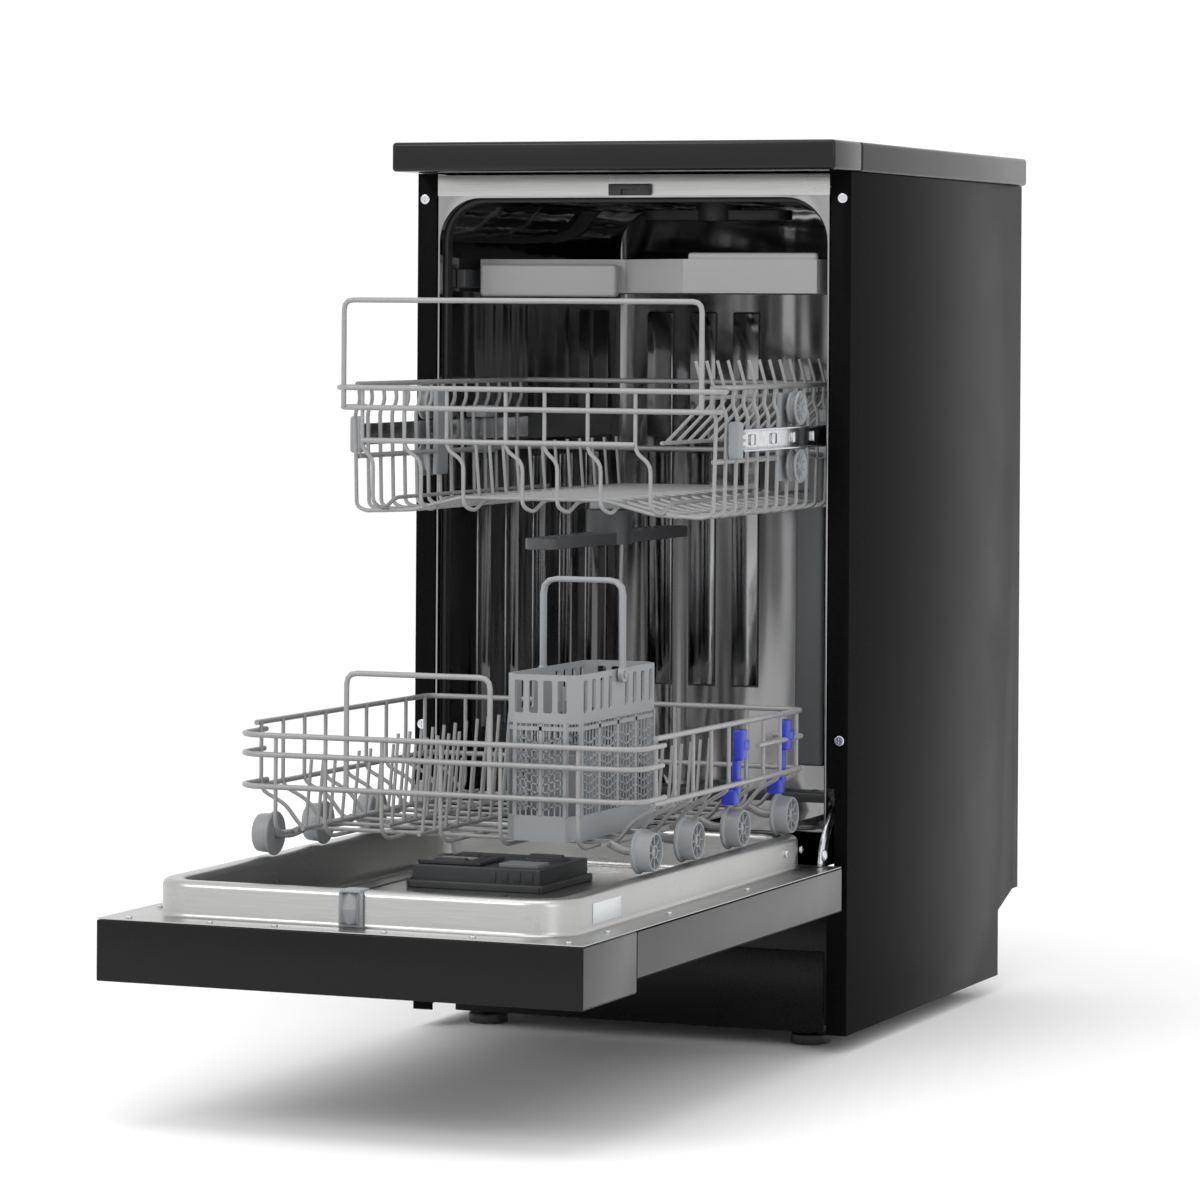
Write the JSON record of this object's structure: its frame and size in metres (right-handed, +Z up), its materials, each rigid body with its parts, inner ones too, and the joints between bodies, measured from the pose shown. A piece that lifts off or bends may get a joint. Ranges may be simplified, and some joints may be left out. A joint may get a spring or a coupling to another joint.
{
  "type": "dishwasher",
  "caption": "Slim free-standing dishwasher with a drop-down door, two sliding wire racks, a cutlery tray and a cutlery basket.",
  "frame": {"origin": "on the floor, at the middle of the footprint of the machine with its door open", "axes": "+Z up, +X to the right as seen by someone standing in front, +Y from the open door towards the back of the cabinet"},
  "size_m": [0.448, 1.191, 0.85],
  "materials": {
    "worktop": "gloss black laminated board",
    "case_black": "gloss black enamelled sheet",
    "back_sheet": "plain dark sheet",
    "base_plastic": "moulded black plastic",
    "plinth_black": "satin black plastic",
    "tub_steel": "bright rolled stainless steel",
    "liner_steel": "brushed stainless steel",
    "seal_rubber": "matte black rubber",
    "fascia_black": "gloss black plastic",
    "display_smoke": "smoked clear plastic",
    "dark_plastic": "moulded dark grey plastic",
    "grey_plastic": "moulded mid grey plastic",
    "coated_wire": "steel wire with a warm grey nylon coat",
    "zinc_steel": "zinc plated steel",
    "blue_plastic": "moulded blue plastic"
  },
  "bodies": {
    "cabinet": {"worktop": "worktop", "side_panel_left": "case_black", "side_panel_right": "case_black", "rear_panel": "back_sheet", "base_tray": "base_plastic", "plinth": "plinth_black", "foot_1": "base_plastic", "foot_2": "base_plastic", "foot_3": "base_plastic", "foot_4": "base_plastic", "tub": "tub_steel", "door_gasket": "seal_rubber", "door_catch": "base_plastic", "sump": "base_plastic", "circulation_pump": "base_plastic", "drain_pump": "base_plastic", "inlet_valve": "grey_plastic", "rail_bracket_left": "dark_plastic", "rail_bracket_right": "dark_plastic", "tray_guide_left": "dark_plastic", "tray_guide_right": "dark_plastic"},
    "door": {"door_panel": "case_black", "control_panel": "fascia_black", "grip_recess": "dark_plastic", "display_window": "display_smoke", "door_liner": "liner_steel", "latch_nose": "grey_plastic", "dispenser_body": "dark_plastic", "hinge_arm_left": "zinc_steel", "hinge_arm_right": "zinc_steel"},
    "power_button": {"power_button": "dark_plastic"},
    "programme_button": {"programme_button": "dark_plastic"},
    "start_button": {"start_button": "dark_plastic"},
    "dispenser_lid": {"dispenser_lid": "dark_plastic"},
    "dispenser_button": {"dispenser_button": "grey_plastic"},
    "rinse_aid_cap": {"rinse_aid_cap": "grey_plastic"},
    "filter": {"filter": "grey_plastic"},
    "lower_spray_arm": {"lower_spray_arm": "dark_plastic"},
    "ceiling_spray_arm": {"ceiling_spray_arm": "dark_plastic"},
    "lower_rack": {"lower_rack": "coated_wire"},
    "lower_wheel_left_1": {"lower_wheel_left_1": "grey_plastic"},
    "lower_wheel_left_2": {"lower_wheel_left_2": "grey_plastic"},
    "lower_wheel_left_3": {"lower_wheel_left_3": "grey_plastic"},
    "lower_wheel_left_4": {"lower_wheel_left_4": "grey_plastic"},
    "lower_wheel_right_1": {"lower_wheel_right_1": "grey_plastic"},
    "lower_wheel_right_2": {"lower_wheel_right_2": "grey_plastic"},
    "lower_wheel_right_3": {"lower_wheel_right_3": "grey_plastic"},
    "lower_wheel_right_4": {"lower_wheel_right_4": "grey_plastic"},
    "folding_tines": {"folding_tines": "coated_wire"},
    "cutlery_basket": {"cutlery_basket": "grey_plastic"},
    "cutlery_basket_handle": {"cutlery_basket_handle": "grey_plastic"},
    "upper_rack": {"upper_rack": "coated_wire"},
    "rack_spray_arm": {"rack_spray_arm": "dark_plastic"},
    "rack_roller_left_1": {"rack_roller_left_1": "grey_plastic"},
    "rack_roller_left_2": {"rack_roller_left_2": "grey_plastic"},
    "rail_left": {"rail_left": "zinc_steel"},
    "rack_roller_right_1": {"rack_roller_right_1": "grey_plastic"},
    "rack_roller_right_2": {"rack_roller_right_2": "grey_plastic"},
    "rail_right": {"rail_right": "zinc_steel"},
    "cutlery_tray": {"cutlery_tray": "grey_plastic"}
  },
  "joints": [
    {"name": "door_hinge", "type": "hinge", "parent": "cabinet", "child": "door", "pos_m": [0, 0.0485, 0.173], "axis": [1, 0, 0], "range_deg": [0, 2], "stiffness_Nm_per_rad": 800, "springref_deg": -2.04},
    {"name": "power_button_press", "type": "slide", "parent": "door", "child": "power_button", "axis": [0, 0, 1], "range_m": [0, 0.0015], "stiffness_N_per_m": 600},
    {"name": "programme_button_press", "type": "slide", "parent": "door", "child": "programme_button", "axis": [0, 0, 1], "range_m": [0, 0.0015], "stiffness_N_per_m": 600},
    {"name": "start_button_press", "type": "slide", "parent": "door", "child": "start_button", "axis": [0, 0, 1], "range_m": [0, 0.0015], "stiffness_N_per_m": 600},
    {"name": "dispenser_lid_slide", "type": "slide", "parent": "door", "child": "dispenser_lid", "axis": [0, 1, 0], "range_m": [0, 0.05]},
    {"name": "dispenser_button_press", "type": "slide", "parent": "door", "child": "dispenser_button", "axis": [0, 0, -1], "range_m": [0, 0.002], "stiffness_N_per_m": 800},
    {"name": "rinse_aid_cap_twist", "type": "hinge", "parent": "door", "child": "rinse_aid_cap", "pos_m": [0, -0.1425, 0.187], "axis": [0, 0, 1], "range_deg": [0, 90]},
    {"name": "filter_twist", "type": "hinge", "parent": "cabinet", "child": "filter", "pos_m": [0, 0.2885, 0.128], "axis": [0, 0, 1], "range_deg": [0, 60]},
    {"name": "lower_spray_arm_spin", "type": "hinge", "parent": "cabinet", "child": "lower_spray_arm", "pos_m": [0, 0.2885, 0.214], "axis": [0, 0, 1], "continuous": true},
    {"name": "ceiling_spray_arm_spin", "type": "hinge", "parent": "cabinet", "child": "ceiling_spray_arm", "pos_m": [0, 0.2885, 0.786], "axis": [0, 0, 1], "continuous": true},
    {"name": "lower_rack_slide", "type": "slide", "parent": "cabinet", "child": "lower_rack", "axis": [0, 1, 0], "range_m": [0, 0.49]},
    {"name": "lower_wheel_left_1_roll", "type": "hinge", "parent": "lower_rack", "child": "lower_wheel_left_1", "pos_m": [-0.1805, -0.3515, 0.2264], "axis": [1, 0, 0], "continuous": true},
    {"name": "lower_wheel_left_2_roll", "type": "hinge", "parent": "lower_rack", "child": "lower_wheel_left_2", "pos_m": [-0.1805, -0.2495, 0.2264], "axis": [1, 0, 0], "continuous": true},
    {"name": "lower_wheel_left_3_roll", "type": "hinge", "parent": "lower_rack", "child": "lower_wheel_left_3", "pos_m": [-0.1805, -0.1345, 0.2264], "axis": [1, 0, 0], "continuous": true},
    {"name": "lower_wheel_left_4_roll", "type": "hinge", "parent": "lower_rack", "child": "lower_wheel_left_4", "pos_m": [-0.1805, -0.0065, 0.2264], "axis": [1, 0, 0], "continuous": true},
    {"name": "lower_wheel_right_1_roll", "type": "hinge", "parent": "lower_rack", "child": "lower_wheel_right_1", "pos_m": [0.1805, -0.3515, 0.2264], "axis": [1, 0, 0], "continuous": true},
    {"name": "lower_wheel_right_2_roll", "type": "hinge", "parent": "lower_rack", "child": "lower_wheel_right_2", "pos_m": [0.1805, -0.2495, 0.2264], "axis": [1, 0, 0], "continuous": true},
    {"name": "lower_wheel_right_3_roll", "type": "hinge", "parent": "lower_rack", "child": "lower_wheel_right_3", "pos_m": [0.1805, -0.1345, 0.2264], "axis": [1, 0, 0], "continuous": true},
    {"name": "lower_wheel_right_4_roll", "type": "hinge", "parent": "lower_rack", "child": "lower_wheel_right_4", "pos_m": [0.1805, -0.0065, 0.2264], "axis": [1, 0, 0], "continuous": true},
    {"name": "folding_tines_fold", "type": "hinge", "parent": "lower_rack", "child": "folding_tines", "pos_m": [-0.062, -0.1915, 0.2385], "axis": [0, 1, 0], "range_deg": [-80, 0]},
    {"name": "cutlery_basket_lift", "type": "slide", "parent": "lower_rack", "child": "cutlery_basket", "axis": [0, 0, -1], "range_m": [-0.12, 0]},
    {"name": "cutlery_basket_handle_swing", "type": "hinge", "parent": "cutlery_basket", "child": "cutlery_basket_handle", "pos_m": [0.096, -0.2935, 0.373], "axis": [-1, 0, 0], "range_deg": [-75, 75]},
    {"name": "upper_rack_slide", "type": "slide", "parent": "cabinet", "child": "upper_rack", "axis": [0, 1, 0], "range_m": [-0.06, 0.3]},
    {"name": "rack_spray_arm_spin", "type": "hinge", "parent": "upper_rack", "child": "rack_spray_arm", "pos_m": [0, 0.0035, 0.478], "axis": [0, 0, 1], "continuous": true},
    {"name": "rack_roller_left_1_roll", "type": "hinge", "parent": "upper_rack", "child": "rack_roller_left_1", "pos_m": [-0.1865, 0.0035, 0.6018], "axis": [1, 0, 0], "continuous": true},
    {"name": "rack_roller_left_2_roll", "type": "hinge", "parent": "upper_rack", "child": "rack_roller_left_2", "pos_m": [-0.1865, 0.0035, 0.5482], "axis": [1, 0, 0], "continuous": true},
    {"name": "rail_left_slide", "type": "slide", "parent": "cabinet", "child": "rail_left", "axis": [0, 1, 0], "range_m": [-0.045, 0.225]},
    {"name": "rack_roller_right_1_roll", "type": "hinge", "parent": "upper_rack", "child": "rack_roller_right_1", "pos_m": [0.1865, 0.0035, 0.6018], "axis": [1, 0, 0], "continuous": true},
    {"name": "rack_roller_right_2_roll", "type": "hinge", "parent": "upper_rack", "child": "rack_roller_right_2", "pos_m": [0.1865, 0.0035, 0.5482], "axis": [1, 0, 0], "continuous": true},
    {"name": "rail_right_slide", "type": "slide", "parent": "cabinet", "child": "rail_right", "axis": [0, 1, 0], "range_m": [-0.045, 0.225]},
    {"name": "cutlery_tray_slide", "type": "slide", "parent": "cabinet", "child": "cutlery_tray", "axis": [0, 1, 0], "range_m": [-0.2, 0.04]}
  ],
  "couplings": [
    {"joint": "rail_left_slide", "follows": "upper_rack_slide", "ratio": 0.75},
    {"joint": "rail_right_slide", "follows": "upper_rack_slide", "ratio": 0.75}
  ]
}
